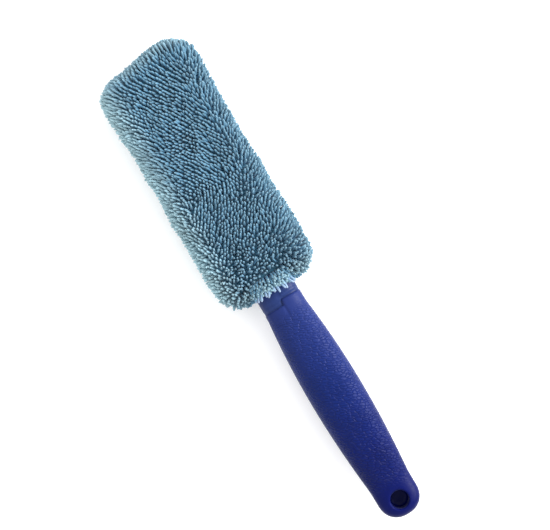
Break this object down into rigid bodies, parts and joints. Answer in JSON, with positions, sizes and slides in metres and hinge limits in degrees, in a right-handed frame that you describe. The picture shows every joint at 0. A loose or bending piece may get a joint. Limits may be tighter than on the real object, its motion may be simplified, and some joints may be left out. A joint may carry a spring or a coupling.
{
  "type": "wheel brush",
  "caption": "Flat-headed wheel brush with a removable chenille pile cover over a padded flexible paddle, and an oval grip with a hanging hole.",
  "frame": {"origin": "centre of the bounding box in X and Y, on the surface that the brush lies on", "axes": "+Y from the handle's end to the head's tip, +X across the head, +Z out of the upper face"},
  "size_m": [0.076, 0.368, 0.036],
  "materials": {
    "core_plastic": "moulded polypropylene, satin",
    "grip_rubber": "soft moulded grip with fine leather grain, deep blue",
    "neck_plastic": "smooth moulded plastic, low gloss, deep blue",
    "pin_steel": "bright drawn wire",
    "blade_plastic": "flexible polyethylene, waxy",
    "bumper_rubber": "soft extruded rubber, matt",
    "tape": "double-sided tissue tape",
    "foam": "open-cell polyurethane foam, grey",
    "backing_cloth": "knitted polyester backing",
    "chenille": "chenille microfibre loops, dusty teal blue",
    "elastic": "woven elastic",
    "thread": "spun polyester thread"
  },
  "bodies": {
    "handle": {"handle_core": "core_plastic", "grip_shell": "grip_rubber", "neck_ferrule": "neck_plastic", "tang_pins": "pin_steel", "blade": "blade_plastic", "edge_bumper": "bumper_rubber", "tape_front": "tape", "tape_back": "tape", "foam_front": "foam", "foam_back": "foam"},
    "cover": {"panel_front": "backing_cloth", "panel_back": "backing_cloth", "seam_allowance": "backing_cloth", "seam_stitches": "thread", "pile_front": "chenille", "pile_back": "chenille", "cuff_front": "backing_cloth", "cuff_back": "backing_cloth", "cuff_pile_front": "chenille", "cuff_pile_back": "chenille", "hem_tape": "backing_cloth", "hem_elastic": "elastic", "hem_stitches": "thread"}
  },
  "joints": [
    {"name": "cover_slide", "type": "slide", "parent": "handle", "child": "cover", "axis": [0, 1, 0], "range_m": [0, 0.19], "deforming": ["cuff_front", "cuff_back", "cuff_pile_front", "cuff_pile_back", "hem_tape", "hem_elastic", "hem_stitches"]}
  ]
}
